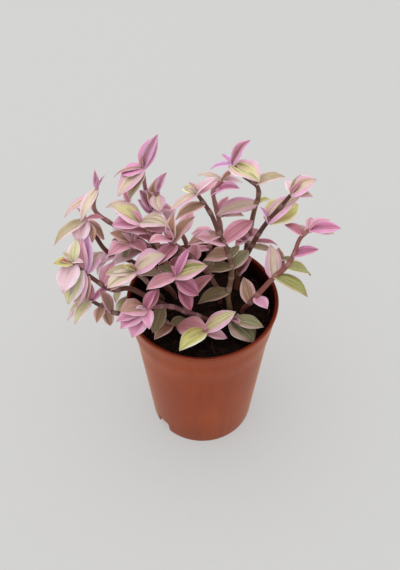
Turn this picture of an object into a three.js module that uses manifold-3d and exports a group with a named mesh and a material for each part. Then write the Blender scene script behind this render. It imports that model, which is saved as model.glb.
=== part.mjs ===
// Potted tradescantia: a round plastic nursery pot, its fill of peat, and trailing leafy stems.
//
// Millimetres, +Z up. The origin is under the middle of the pot, +X points to the right as the
// plant faces its viewer and +Y points to the back. Every leafy stem is one solid: its stem and
// side shoots are tubes along smooth curves, and each leaf is a blade with its base in the stem.

import * as THREE from "three";
import { mergeVertices } from "three/addons/utils/BufferGeometryUtils.js";
import Module from "manifold-3d";

const wasm = await Module();
wasm.setup();

// Pot
const POT_HEIGHT = 73;
const RIM_R = 30;
const FOOT_R = 22.1;
const WALL = 1.2;
const LIP_H = 2.6; // height of the thickened lip
const LIP_OUT = 0.4; // how far the lip stands out of the wall
const LIP_EDGE = 0.5; // bevel of the lip's edges
const COLLAR_DROP = 11; // from the top down to the step under the collar
const COLLAR_Z = POT_HEIGHT - COLLAR_DROP;
const COLLAR_R = 28.5; // outer radius of the collar's lower edge
const COLLAR_STEP = 0.7;
const COLLAR_SLANT = 1.5; // height of the slanted step
const FOOT_RING = 1.6; // width of the ring that the pot stands on
const CHANNEL_H = 6; // height of the drain channel inside the foot ring
const CHANNEL_SLOPE = 1; // how far the channel's sides lean
const FLOOR_T = 1.2;
const FLOOR_TOP = CHANNEL_H + FLOOR_T; // inside, over the channel
const PAD_R = 12; // flat middle of the underside
const POT_SIDES = 40;
const NOTCH_ANGLES = [40, 220]; // compass angles of the drain notches in the foot
const NOTCH_WIDTH = 7.5;
const NOTCH_H = 5.4;
const NOTCH_DEPTH = 8;
const DRAIN_TURNS = [40, 90, 140]; // from a notch to the drain holes that follow it
const DRAIN_R = 2.2;
const DRAIN_CIRCLE_R = 16.4;

// Peat
const SOIL_Z = 66;
const SOIL_GAP = 0.3; // clear of the pot's floor
const SOIL_SIDE_GAP = 0.4; // clear of the pot's wall
const SOIL_EDGE = 0.8; // bevel round the top
const SOIL_SIDES = 36;
const ROOT_DEPTH = 10;
const ROOT_HOLE_R = 2.3;
const ROOT_HOLE_GAP = 0.4; // under the end of a stem

// Stems
const STEM_R = 1.25; // radius at the foot
const TIP_R = 0.7; // radius at the growing tip
const TIP_CAP = 0.8; // how far the end of a stem passes the place of its last leaves
const STEM_SIDES = 6;
const STEM_STEP = 6; // length of one ring of facets

// Leaves
const LEAF_WIDTH = 0.54; // of the length
const LEAF_WIDEST = 0.4; // place of the widest part along the blade
const LEAF_THICK = 1.2; // at the midrib
const LEAF_ARCH = 0.09; // rise of the bowed midrib over its chord, of the length
const LEAF_FOLD = 0.3; // slope of each half up from the midrib
const FOLD_MIDDLE = 0.6; // part of the half-width that lies below the fold's mean height
const LEAF_RINGS = 4; // bands of facets from base to tip
const BUD_RINGS = 3;
const BUD_LENGTH = 6; // the furled leaf at every tip
const BUD_WIDTH = 0.4; // of its length

/**
 * The leafy stems. foot is where the stem leaves the peat. route holds the points that it passes
 * through above the peat. Each leaf is [place, heading, rise, length]: place counts route points
 * from the foot, so 2.5 lies halfway between the second and the third; heading is the compass
 * direction in degrees, 0 along +X and 90 along +Y; rise is in degrees over the horizontal. A
 * fifth number is the width as a share of the length, where it isn't the usual one.
 * A side shoot has from, its place on the first stem, and its own route.
 */
const PLANTS = {
  stem_centre: [
    {
      foot: [11, -1],
      route: [[10, 0, 74], [11, 2, 82], [11, 2, 89], [9, 4, 97], [6, 5, 104], [3, 7, 112], [-2, 8, 121]],
      leaves: [
        [1.3, 200, -10, 13], [2.9, 48, 10, 10.5, 0.55], [3, 188, -8, 9.5, 0.6], [3.5, 55, 5, 7, 0.5],
        [3.6, 160, -25, 11.5, 0.8], [4.3, 195, 30, 13], [4.4, 40, 8, 15, 0.5], [4.9, 190, -12, 12.5, 0.5],
        [6.5, 200, -15, 12, 0.45], [7, 215, -10, 12, 0.35], [7, -10, 50, 11, 0.45], [7, 40, 5, 10],
        [7, 125, -15, 8, 0.8], [7, 140, -10, 7, 0.3],
      ],
    },
  ],
  stem_back_centre: [
    {
      foot: [8, 21],
      route: [[8, 22, 79], [7, 23, 90], [5, 23, 101], [4, 22, 110], [7.4, 25, 112]],
      leaves: [
        [2.6, 52, 30, 8, 0.45], [3.7, -25, 35, 13], [4, 45, -5, 10], [5, 165, 10, 9.5, 0.38],
        [5, 10, -12, 8, 0.6], [2.5, 5, -2, 10.5, 0.42],
      ],
    },
  ],
  stem_back_arched: [
    {
      foot: [15, 17],
      route: [
        [18, 22, 79], [19, 22, 90], [20, 21, 101], [21, 20, 109], [20, 20, 114], [16, 21, 117], [11, 26, 119],
      ],
      leaves: [
        [3.4, 195, -5, 16, 0.5], [3.4, 35, -15, 8, 0.35], [5.2, 20, 5, 12, 0.42], [3.2, 196, -12, 14, 0.42],
        [7, -42, 0, 13, 0.9], [7, 20, 60, 12, 0.6], [7, -160, 5, 9, 0.4],
      ],
    },
    {
      from: 1,
      route: [[18, 20, 83], [17, 19, 86]],
      leaves: [[2, 190, 30, 9], [2, 50, 0, 8], [2, -130, 15, 7], [2, -40, 30, 6], [2, 100, 10, 7]],
    },
  ],
  stem_right_back: [
    {
      foot: [14, 11],
      route: [[15, 12, 77], [18, 12, 87], [21, 11, 97], [24, 10, 105], [28, 11, 111], [32, 12, 117]],
      leaves: [
        [0.7, 15, 60, 10], [4, 170, 65, 8], [4, 20, 40, 15], [4, 34, 3, 15, 0.9], [6, 100, 0, 8, 0.4],
        [6, 0, 40, 11, 0.8], [6, -20, 10, 8], [6, 60, 30, 8, 0.4], [2.3, -12, -5, 8.5, 0.42],
        [2.6, 0, -8, 9.5, 0.3],
      ],
    },
  ],
  stem_right_runner: [
    {
      foot: [16, -1],
      route: [[20, -3, 76], [27, 0, 85], [31, 1, 89], [34, 3, 94], [36, 5, 101], [39, 5, 106]],
      leaves: [
        [0.7, 110, 40, 10.5, 0.6], [1.1, -62, 12, 8.5, 0.65], [2, 100, 55, 13], [2.2, 80, 20, 12, 0.45],
        [2.1, -25, -18, 15, 0.45], [3.2, 15, -32, 13, 0.6], [3.6, 120, -35, 7], [4, 0, 20, 10, 0.5],
        [5.4, 150, 10, 8, 0.6], [5.4, 95, -15, 8], [6, -10, 12, 11.5], [6, 5, -15, 10, 0.5],
        [5.7, 30, 10, 10.5], [6, 75, 0, 7],
      ],
    },
  ],
  stem_front: [
    {
      foot: [2, -13],
      route: [[1, -15, 70], [1, -17, 74]],
      leaves: [[1.5, -10, -15, 9], [2, -140, 0, 13, 0.6], [2, 15, 30, 14], [2, 160, -10, 12, 0.8]],
    },
  ],
  stem_front_right: [
    {
      foot: [11, -8],
      route: [[11, -9, 69], [12, -10, 72]],
      leaves: [[1.4, -41, -15, 12, 0.95], [2, -60, 30, 5], [2, -15, -5, 12]],
    },
  ],
  stem_left_front: [
    {
      foot: [3, -7],
      route: [[-1, -8, 71], [-6, -8, 74], [-11, -8, 77], [-16, -10, 80], [-21, -15, 85]],
      leaves: [
        [3.8, -115, -40, 11], [5, -150, 25, 11, 0.8], [5, 30, 55, 9], [5, -80, -5, 9], [5, 55, 20, 9, 0.65],
        [5, -120, -30, 12, 0.7], [5, -145, -20, 12, 0.7], [5, -155, -10, 12], [5, -135, 25, 5],
      ],
    },
    {
      from: 2,
      route: [[-7, -8, 82], [-9, -7, 90], [-10, -7, 94]],
      leaves: [
        [0.9, 35, 25, 15, 0.4], [1.6, -55, -35, 9, 0.6], [2.4, -25, -30, 10, 0.8], [3, 8, 15, 12.5, 0.8],
        [3, -148, 0, 12.5, 0.5], [3, 135, -15, 10], [3, 60, 30, 12, 0.3],
      ],
    },
  ],
  stem_front_low: [
    {
      foot: [-10, -10],
      route: [[-11, -11, 69], [-12, -12, 71]],
      leaves: [[2, -130, 5, 10], [2, 40, -15, 8]],
    },
  ],
  stem_middle: [
    {
      foot: [7, 3],
      route: [[6, 3, 74], [3, 4, 81], [-1, 4, 88], [-6, 4, 95], [-11, 4, 100], [-12, 3, 104]],
      leaves: [
        [2.6, 65, -10, 8], [3.4, 75, 80, 9], [4.8, -120, 0, 12], [5.3, -170, 80, 9], [5, 35, 45, 13, 0.4],
        [5.4, 70, 70, 11, 0.4], [5.6, -140, 30, 11],
      ],
    },
  ],
  stem_cream: [
    {
      foot: [-16, 5],
      route: [[-19, 1, 76], [-21, -2, 85], [-23.8, -4.5, 92], [-24.7, -5.5, 95.5]],
      leaves: [
        [4, -140, 0, 13, 0.6], [4, 8, 32, 13, 0.8], [4, -160, 45, 6], [3.2, 35, -35, 13, 0.6],
        [3.6, -150, -20, 12], [4, 180, -20, 12], [3.5, -165, 12, 12, 0.45],
      ],
    },
  ],
  stem_left_runner: [
    {
      foot: [-13, 0],
      route: [[-20, -3, 76], [-28, -2, 81], [-35, -4, 83], [-44, -2, 90], [-48, -2, 96]],
      leaves: [
        [2.5, -130, -50, 6], [3, 70, 20, 10, 0.7], [3.3, 60, 40, 10, 0.6], [4, 58, 15, 11, 0.65],
        [3.9, -90, -30, 10, 0.35], [4, 110, 55, 13, 0.4], [4.1, 92, 60, 13, 0.35], [4, 78, 50, 15, 0.4],
        [4.25, -95, -35, 14, 0.5], [4.3, -114, -30, 14, 0.6], [4.9, -108, -25, 12, 0.75], [5, 190, 5, 7, 0.9],
        [5, 80, 30, 9], [5, 185, 15, 5, 0.5], [5, -20, 20, 5], [5, 130, 10, 6],
      ],
    },
  ],
  stem_left_low: [
    {
      foot: [-15, -6],
      route: [[-20, -8, 72], [-26, -10, 76], [-34, -9, 75], [-43, -6, 79]],
      leaves: [
        [2.8, 70, 10, 8], [3.1, 150, 65, 11, 0.5], [3.4, -60, -60, 8], [3.5, -100, 5, 8], [3.6, 30, -50, 8],
        [3.9, 35, 20, 11.5, 0.28], [4, -115, -5, 12, 0.45], [4, -137, -15, 12, 0.2], [4, 100, 50, 8],
        [4, -150, -20, 10, 0.45],
      ],
    },
  ],
  stem_left_tall: [
    {
      foot: [-13, 18],
      route: [[-21, 20, 80], [-28, 20, 88], [-36, 18, 97], [-41, 18, 104], [-39, 18, 114]],
      leaves: [
        [2.2, 90, 5, 8], [4.7, -154, -22, 14.4, 0.3], [5, -115, -15, 14, 0.32], [5, 50, 40, 6, 0.2],
        [5, 90, 75, 8, 0.3],
      ],
    },
  ],
  stem_left_star: [
    {
      foot: [-14, 10],
      route: [[-21, 10, 77], [-29, 11, 83], [-37, 11, 88], [-41, 12, 96], [-44, 13, 103]],
      leaves: [
        [5, -142, -15, 15, 0.38], [5, -30, 30, 10, 0.3], [4.8, 8, -62, 11.5, 0.62], [4.8, -70, -25, 8],
        [5, -108, -25, 10, 0.7], [2.6, 200, -10, 10], [2.9, -130, -40, 10, 0.4],
      ],
    },
  ],
  stem_tall: [
    {
      foot: [-9, 20],
      route: [[-12, 23, 77], [-15, 25, 86], [-18, 25, 95], [-21, 25, 104], [-22, 24, 113], [-22, 24, 119]],
      leaves: [
        [6, 55, 50, 13, 0.55], [6, 40, 55, 14, 0.35], [6, -140, -28, 14, 0.62], [5.8, -122, -35, 12, 0.5],
        [6, 190, -12, 8.5, 0.85], [6, 189, -11, 11.5, 0.16],
      ],
    },
  ],
  stem_upper_left: [
    {
      foot: [-12, 15],
      route: [[-17, 16, 77], [-20, 16, 88], [-25, 17, 99], [-28, 18, 107]],
      leaves: [[4, 190, -4, 8.5, 0.42], [4, 95, 35, 7, 0.5], [3.2, -160, 30, 8]],
    },
  ],
  stem_striped: [
    {
      foot: [-9, 10],
      route: [[-13, 9, 79], [-16, 9, 91], [-20, 10, 99], [-23, 11, 104]],
      leaves: [
        [0.9, 65, 20, 8], [2.2, -40, 15, 9], [2.5, -165, 35, 8], [2.6, 70, 0, 8], [3.4, 20, -25, 11],
        [3.1, 185, 12, 10, 0.6], [4, 172, 30, 12.5, 0.85], [4, -22, 15, 11.5, 0.85], [4, 120, 10, 6, 0.5],
        [4, 195, 5, 11, 0.7],
      ],
    },
  ],
  stem_upper_middle: [
    {
      foot: [-5, 16],
      route: [[-9, 18, 78], [-13, 19, 88], [-17, 19, 96], [-19, 19, 103], [-17, 19, 112]],
      leaves: [
        [2.7, 40, 35, 10], [3.6, 50, 5, 8], [4, 150, 55, 9, 0.75], [4, 80, 45, 12, 0.42],
        [4.8, -75, -15, 7.5, 0.8], [4, 150, 75, 9, 0.4], [4, -20, 15, 9], [3.6, 142, 30, 8.5, 0.6],
        [5, 56, 40, 8, 0.45],
      ],
    },
  ],
  stem_rosy: [
    {
      foot: [-11, 6],
      route: [[-15, 5, 77], [-20, 8, 85], [-27, 9, 95]],
      leaves: [
        [2.6, -165, -20, 13], [3, 160, 15, 9, 0.6], [3, -140, 5, 11, 0.65], [3, -50, 15, 10], [3, 85, 10, 8],
        [3, -138, -60, 8, 0.45], [3, 5, -50, 12], [3, 178, 12, 7.5, 0.7], [3, 130, 5, 11, 0.7],
      ],
    },
  ],
  stem_rear: [
    {
      foot: [2, 22],
      route: [[3, 26, 75], [4, 32, 76], [6, 37, 70]],
      leaves: [
        [0.9, 200, 0, 8], [1.6, 20, -10, 11], [2.2, 150, -25, 12], [3, 30, -45, 12], [3, 120, -60, 12],
      ],
    },
  ],
  stem_rear_left: [
    {
      foot: [-5, 22],
      route: [[-7, 27, 77], [-11, 31, 80], [-17, 33, 82], [-24, 34, 80]],
      leaves: [
        [1.5, 60, 25, 11], [2.2, 190, 25, 12], [2.9, 90, -10, 12], [4, 140, -30, 12], [4, 215, -5, 12],
      ],
    },
  ],
};

/** A THREE.BufferGeometry as a solid that can be joined and cut. */
function solidOf(geometry) {
  const bare = geometry.clone();
  bare.deleteAttribute("normal");
  bare.deleteAttribute("uv");
  const merged = mergeVertices(bare, 1e-3);
  return new wasm.Manifold(
    new wasm.Mesh({
      numProp: 3,
      vertProperties: merged.attributes.position.array,
      triVerts: new Uint32Array(merged.index.array),
    }),
  );
}

/** A joined or cut solid as a named mesh with its own material. */
function meshOf(name, solid, material) {
  const { vertProperties, triVerts } = solid.getMesh();
  const geometry = new THREE.BufferGeometry();
  geometry.setAttribute("position", new THREE.BufferAttribute(vertProperties, 3));
  geometry.setIndex(new THREE.BufferAttribute(triVerts, 1));
  geometry.computeVertexNormals();
  const mesh = new THREE.Mesh(geometry, material);
  mesh.name = name;
  return mesh;
}

/** A solid of revolution about +Z from [radius, height] corners that start and end on the axis. */
function turned(corners, sides) {
  const profile = corners.map(([r, z]) => new THREE.Vector2(r, z));
  return solidOf(new THREE.LatheGeometry(profile, sides).rotateX(Math.PI / 2));
}

/** An upright cylinder on the point (x, y, z). */
function pin(r, height, x, y, z, sides = 20) {
  return solidOf(
    new THREE.CylinderGeometry(r, r, height, sides).rotateX(Math.PI / 2).translate(x, y, z + height / 2),
  );
}

/** Outer radius of the wall at a height: a straight taper to the collar, and a wider one on to the rim. */
function wallR(z) {
  if (z < COLLAR_Z) return THREE.MathUtils.mapLinear(z, 0, COLLAR_Z, FOOT_R, COLLAR_R - COLLAR_STEP);
  return THREE.MathUtils.mapLinear(z, COLLAR_Z, POT_HEIGHT, COLLAR_R, RIM_R - LIP_OUT);
}

/** The pot: a tapered wall with a collar and a lip, a raised drain channel and two notches. */
function potSolid() {
  const lipZ = POT_HEIGHT - LIP_H;
  const lowZ = COLLAR_Z - COLLAR_SLANT;
  const innerR = (z) => wallR(z) - WALL;
  let pot = turned(
    [
      [0, 0],
      [PAD_R, 0],
      [PAD_R + CHANNEL_SLOPE, CHANNEL_H],
      [FOOT_R - FOOT_RING - CHANNEL_SLOPE, CHANNEL_H],
      [FOOT_R - FOOT_RING, 0],
      [FOOT_R, 0],
      [wallR(lowZ), lowZ],
      [wallR(COLLAR_Z), COLLAR_Z],
      [wallR(lipZ), lipZ],
      [RIM_R, lipZ + LIP_EDGE],
      [RIM_R, POT_HEIGHT - LIP_EDGE],
      [RIM_R - LIP_EDGE, POT_HEIGHT],
      [innerR(POT_HEIGHT), POT_HEIGHT],
      [innerR(COLLAR_Z), COLLAR_Z],
      [innerR(lowZ), lowZ],
      [innerR(FLOOR_TOP), FLOOR_TOP],
      [PAD_R + CHANNEL_SLOPE, FLOOR_TOP],
      [PAD_R, FLOOR_T],
      [0, FLOOR_T],
    ],
    POT_SIDES,
  );
  for (const angle of NOTCH_ANGLES) {
    const turn = THREE.MathUtils.degToRad(angle);
    const notch = new THREE.BoxGeometry(NOTCH_DEPTH, NOTCH_WIDTH, 2 * NOTCH_H).translate(FOOT_R, 0, 0);
    pot = pot.subtract(solidOf(notch.rotateZ(turn)));
    for (const further of DRAIN_TURNS) {
      const at = turn + THREE.MathUtils.degToRad(further);
      const [x, y] = [DRAIN_CIRCLE_R * Math.cos(at), DRAIN_CIRCLE_R * Math.sin(at)];
      pot = pot.subtract(pin(DRAIN_R, 4 * FLOOR_T, x, y, CHANNEL_H - FLOOR_T));
    }
  }
  return pot;
}

/** The peat: a plug that fills the pot up to its flat top, with a plain hole for every stem. */
function soilSolid() {
  const lowZ = COLLAR_Z - COLLAR_SLANT;
  const sideR = (z) => wallR(z) - WALL - SOIL_SIDE_GAP;
  let soil = turned(
    [
      [0, FLOOR_T + SOIL_GAP],
      [PAD_R - CHANNEL_SLOPE, FLOOR_T + SOIL_GAP],
      [PAD_R + CHANNEL_SLOPE - SOIL_SIDE_GAP, FLOOR_TOP + SOIL_GAP],
      [sideR(FLOOR_TOP), FLOOR_TOP + SOIL_GAP],
      [sideR(lowZ), lowZ],
      [sideR(COLLAR_Z), COLLAR_Z + SOIL_GAP],
      [sideR(SOIL_Z), SOIL_Z - SOIL_EDGE],
      [sideR(SOIL_Z) - SOIL_EDGE, SOIL_Z],
      [0, SOIL_Z],
    ],
    SOIL_SIDES,
  );
  for (const [stem] of Object.values(PLANTS)) {
    const [x, y] = stem.foot;
    const floor = SOIL_Z - ROOT_DEPTH - ROOT_HOLE_GAP;
    soil = soil.subtract(pin(ROOT_HOLE_R, 2 * ROOT_DEPTH, x, y, floor, 8));
  }
  return soil;
}

/** The curve that a stem follows: from its root, or from its place on the stem it grows out of. */
function stemCurve(branch, parent) {
  const start = branch.foot
    ? [new THREE.Vector3(...branch.foot, SOIL_Z - ROOT_DEPTH), new THREE.Vector3(...branch.foot, SOIL_Z)]
    : [placeOn(parent, branch.from)];
  const points = start.concat(branch.route.map((p) => new THREE.Vector3(...p)));
  const curve = new THREE.CatmullRomCurve3(points, false, "catmullrom", 0.5);
  curve.buried = start.length - 1;
  return curve;
}

/** The point at a place counted in route points from the foot or from the fork. */
function placeOn(curve, place) {
  return curve.getPoint((place + curve.buried) / (curve.points.length - 1));
}

/** A tapering closed tube: a cylinder whose rings are moved on to the curve. */
function stemTube(curve) {
  const steps = Math.max(3, Math.round(curve.getLength() / STEM_STEP));
  const frames = curve.computeFrenetFrames(steps);
  const tube = new THREE.CylinderGeometry(1, 1, 1, STEM_SIDES, steps);
  const position = tube.getAttribute("position");
  const vertex = new THREE.Vector3();
  const side = new THREE.Vector3();
  for (let i = 0; i < position.count; i++) {
    vertex.fromBufferAttribute(position, i);
    const share = vertex.y + 0.5;
    const ring = Math.round(share * steps);
    const radius = THREE.MathUtils.lerp(STEM_R, TIP_R, share * share);
    side.copy(frames.normals[ring]).multiplyScalar(vertex.z * radius);
    side.addScaledVector(frames.binormals[ring], vertex.x * radius);
    vertex.copy(curve.getPointAt(share)).add(side);
    if (ring === steps) vertex.addScaledVector(frames.tangents[ring], TIP_CAP);
    position.setXYZ(i, vertex.x, vertex.y, vertex.z);
  }
  return solidOf(tube);
}

/** Half-width of a blade as a share of its greatest: a broad clasping base and a pointed tip. */
function outline(t) {
  if (t < LEAF_WIDEST) return 0.4 + 0.6 * Math.sin((t / LEAF_WIDEST) * (Math.PI / 2));
  return Math.cos((Math.PI / 2) * ((t - LEAF_WIDEST) / (1 - LEAF_WIDEST)) ** 1.25);
}

/**
 * A leaf blade: a low sphere with its poles at the base and the tip, pressed into the outline,
 * bowed along the midrib and folded up to both sides.
 */
function blade(base, heading, rise, length, width = LEAF_WIDTH, rings = LEAF_RINGS) {
  const leaf = new THREE.SphereGeometry(1, 4, rings).rotateZ(-Math.PI / 2);
  const position = leaf.getAttribute("position");
  for (let i = 0; i < position.count; i++) {
    const [sx, sy, sz] = [position.getX(i), position.getY(i), position.getZ(i)];
    const t = (1 + sx) / 2;
    const ring = Math.hypot(sy, sz);
    const halfWidth = (width / 2) * length * outline(t);
    const across = ring > 1e-6 ? (-sz / ring) * halfWidth : 0;
    const bow = LEAF_ARCH * length * 4 * t * (1 - t);
    const fold = LEAF_FOLD * (Math.abs(across) - FOLD_MIDDLE * halfWidth);
    position.setXYZ(i, t * length, across, bow + fold + (sy * LEAF_THICK) / 2);
  }
  leaf.rotateY(-THREE.MathUtils.degToRad(rise)).rotateZ(THREE.MathUtils.degToRad(heading));
  return solidOf(leaf.translate(base.x, base.y, base.z));
}

/** The furled young leaf that carries on the direction of a stem's growing tip. */
function bud(curve) {
  const tangent = curve.getTangent(1);
  const heading = THREE.MathUtils.radToDeg(Math.atan2(tangent.y, tangent.x));
  const rise = THREE.MathUtils.radToDeg(Math.asin(tangent.z));
  return blade(curve.getPoint(1), heading, rise, BUD_LENGTH, BUD_WIDTH, BUD_RINGS);
}

/** The solid without the small pockets that are sealed in between crowded leaf bases. */
function outerShell(solid) {
  const shells = solid.decompose().filter((shell) => shell.volume() > 0);
  if (shells.length !== 1) throw new Error("a leaf stands free of its stem");
  return shells[0];
}

/** One leafy stem with its side shoots and leaves, joined into a single solid. */
function leafyStem(branches) {
  const main = stemCurve(branches[0]);
  const pieces = [];
  for (const branch of branches) {
    const curve = branch.foot ? main : stemCurve(branch, main);
    pieces.push(stemTube(curve), bud(curve));
    for (const [place, ...leaf] of branch.leaves) {
      pieces.push(blade(placeOn(curve, place), ...leaf));
    }
  }
  return outerShell(pieces.reduce((whole, piece) => whole.add(piece)));
}

const terracotta = new THREE.MeshStandardMaterial({ color: 0x9c4f33, roughness: 0.55, metalness: 0 });
const peat = new THREE.MeshStandardMaterial({ color: 0x1c110d, roughness: 0.95, metalness: 0 });
const foliage = new THREE.MeshStandardMaterial({ color: 0xb07d84, roughness: 0.5, metalness: 0 });

const pottedPlant = new THREE.Group();
pottedPlant.add(meshOf("pot", potSolid(), terracotta));
pottedPlant.add(meshOf("soil", soilSolid(), peat));
for (const [name, branches] of Object.entries(PLANTS)) {
  pottedPlant.add(meshOf(name, leafyStem(branches), foliage));
}

export default pottedPlant;
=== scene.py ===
"""The looks of a potted tradescantia: a nursery pot, dark peat, and pink and cream leafy stems.

Metres, +Z up, with the origin under the middle of the pot. Sizes are written in millimetres, and
angles in degrees. MM turns a size to metres where a mesh or a material needs it.
"""
import math

import bpy
import numpy as np
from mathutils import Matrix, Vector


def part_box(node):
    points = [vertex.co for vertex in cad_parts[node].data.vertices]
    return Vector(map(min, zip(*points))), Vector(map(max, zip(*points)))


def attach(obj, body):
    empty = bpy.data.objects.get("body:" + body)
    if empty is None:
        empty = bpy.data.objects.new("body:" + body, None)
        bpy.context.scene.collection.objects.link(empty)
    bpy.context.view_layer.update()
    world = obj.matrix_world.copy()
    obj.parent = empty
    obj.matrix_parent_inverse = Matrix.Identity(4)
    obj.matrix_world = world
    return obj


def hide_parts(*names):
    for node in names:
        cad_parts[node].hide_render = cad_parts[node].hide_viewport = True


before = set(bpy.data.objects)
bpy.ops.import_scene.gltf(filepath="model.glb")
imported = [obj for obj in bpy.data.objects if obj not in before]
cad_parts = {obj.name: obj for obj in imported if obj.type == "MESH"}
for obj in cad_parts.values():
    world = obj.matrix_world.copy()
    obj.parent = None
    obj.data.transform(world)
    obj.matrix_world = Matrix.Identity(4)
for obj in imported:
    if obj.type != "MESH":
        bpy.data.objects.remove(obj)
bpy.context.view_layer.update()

MM = 0.001
DRAW = np.random.default_rng(7)

# Pot
POT_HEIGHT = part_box("pot")[1].z / MM
RIM_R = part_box("pot")[1].x / MM
FOOT_R = 22.1
WALL = 1.2  # thickness
RIM_BEAD_H = 6  # height over which the wall swells to the lip
RIM_BEAD_OUT = 0.4  # its reach at the lip
LIP_EDGE = 0.35  # bevel of the lip
COLLAR_DROP = 11  # from the top down to the step under the collar
COLLAR_Z = POT_HEIGHT - COLLAR_DROP
COLLAR_R = 28.5  # outer radius at the step
COLLAR_STEP = 0.7
COLLAR_SLANT = 8  # height of the slanted step
COLLAR_LOW = COLLAR_Z - COLLAR_SLANT
FOOT_RING = 1.6  # width of the ring that the pot stands on
CHANNEL_H = 6  # height of the drain channel inside the ring
FLOOR_T = 1.2  # thickness of the floor
FLOOR_TOP = CHANNEL_H + FLOOR_T
PAD_R = 12  # flat middle of the underside
POT_SIDES = 360
ARC_POINTS = 5  # points of a rounded corner of the profile
ARC_REACH = 0.48  # share of a side that one arc may take
NOTCH_ANGLES = (40, 220)
NOTCH_WIDTH = 7.5
NOTCH_H = 5.4
NOTCH_SLOPE = 1.2  # width over which a notch rises
DRAIN_TURNS = (40, 90, 140)  # from a notch to the drain holes that follow it
DRAIN_R = 2.2
DRAIN_CIRCLE_R = 16.4  # from the pot's axis to a hole
DRAIN_SIDES = 48

# Peat
SOIL_Z = 66
SOIL_R = 27.5
CLOD_H = 0.75  # height of the clods, up and down
CLOD_LARGE = 9  # spacing
CLOD_SMALL = 2.6
NOISE_OFF = 100  # keeps the noise's places above 0
WALL_DIP = 0.7  # fall of the peat's top along the wall
WALL_DIP_WIDTH = 5
PEAT_GAP = 0.4  # between the peat and the pot
PEAT_SIDES = 420
PEAT_RINGS = 150
CRUMBS = 900
CRUMB_SIDES = 7
CRUMB_RINGS = np.array([(0.7, -0.6), (1, 0), (0.65, 0.65)])  # radius and height
FIBRES = 90
FIBRE_SIDES = 5
FIBRE_POINTS = 9

# Stems
ROOT_DEPTH = 10  # start of a stem's curve, under the top of the peat
SKIN_START = 4  # start of its skin, along the curve
STEM_R = 1.12
TIP_R = 0.7
TIP_CAP = 0.5  # height of the cone at the tip
STEM_SIDES = 14
STEM_STEP = 0.35  # between rings
SHEATH = 2.4  # length of the sheath over a node
SHEATH_OUT = 0.14  # how far it stands out
SHEATH_FOOT = 0.3  # half the height over which it starts
SHEATH_RIM = 0.25  # height over which it ends
NODE_OUT = 0.08  # bulge of a node
NODE_SPREAD = 0.45
NODE_GAP = 4  # nearer nodes count as one

# Leaves. Widths and heights are shares of the blade's length or of its half-width, unless mm is said.
LEAF_WIDTH = 0.54
LEAF_WIDEST = 0.4  # place of the widest part along the blade
LEAF_THICK = 0.62  # mm
LEAF_ARCH = 0.09
LEAF_FOLD = 0.3  # rise of a half-blade
FOLD_MIDDLE = 0.6  # where the folded blade keeps its height
ARCH_SPREAD = 0.03  # most that a blade's arch differs
BELLY = 0.1  # swell of each half
RIPPLE = 0.05  # height of the margin's waves
RIPPLES = 2.2  # waves from base to tip
DROOP = 0.06  # fall of the tip
DROOP_START = 0.55
GROOVE = 0.16  # mm, depth of the groove over the midrib
GROOVE_SPREAD = 0.09
SWEEP = 0.04  # the tip's shift to one side
TWIST = 14  # degrees, at the tip
LEAF_ROWS = 30
LEAF_SIDES = 24
BUD_LENGTH = 6  # mm
BUD_WIDTH = 0.4
BUD_FOLD = 0.9

# View and light. The camera's lens and sensor are in mm, and the lamp in metres.
CAMERA_AT = (-0.965 * MM, -200.85 * MM, 314.67 * MM)
CAMERA_TILT = 40.65
CAMERA_LENS = 50.5
CAMERA_SENSOR = 36
SKY = (1.0, 0.998, 0.99, 1.0)
SKY_STRENGTH = 0.86
LAMP_AT = (-0.25, 0.1, 1.3)
LAMP_TILT = (-4, -11, 0)
LAMP_SIZE = 1.6
LAMP_POWER = 6.5
LAMP_COLOUR = (1.0, 0.99, 0.97)
FLOOR_HALF = 2500  # half the side of the floor

# Each tone: the colours of the margin, the middle band and the streaks, the half-width of the band,
# and how strongly the streaks show.
TONES = {
    "olive": ("#b79a92", "#96906a", "#716c48", 0.84, 0.6),
    "tan": ("#dcbcba", "#b9a98a", "#8f8460", 0.74, 0.7),
    "brown": ("#d8aaa8", "#b39077", "#8a684c", 0.60, 0.8),
    "mauve": ("#cf98ac", "#b58e80", "#8a6c58", 0.62, 0.7),
    "rose": ("#cf8fa4", "#bb7a8a", "#955c5c", 0.58, 0.6),
    "pink": ("#e3aec2", "#d69caa", "#b4767e", 0.50, 0.5),
    "orchid": ("#e8aecb", "#dc9cba", "#bd7a94", 0.50, 0.5),
    "magenta": ("#dc9ac0", "#c57ba0", "#9c5872", 0.45, 0.6),
    "lilac": ("#eccfdd", "#e2c3cc", "#c9a0a4", 0.55, 0.5),
    "cream": ("#e6c2cc", "#d9c9b2", "#a5967a", 0.64, 0.9),
    "lime": ("#e9e2c4", "#cbc67c", "#a3a058", 0.86, 0.7),
    "green": ("#c9b79c", "#a9a866", "#8a8a4c", 0.80, 0.6),
    "striped": ("#e4b4ca", "#d2c89a", "#8f8f50", 0.58, 1.0),
    "blush": ("#dba6c4", "#d6c2b0", "#a88e78", 0.58, 0.8),
    "plum": ("#d4a0c4", "#b07a8c", "#8a5656", 0.46, 0.8),
    "violet": ("#e0b4da", "#cb98c2", "#aa769e", 0.45, 0.4),
    "rust": ("#e2bca4", "#bd7d55", "#9c5a3c", 0.70, 0.6),
    "pale_lime": ("#ecd0dc", "#d8d3ae", "#b0ac78", 0.70, 0.7),
}

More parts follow.
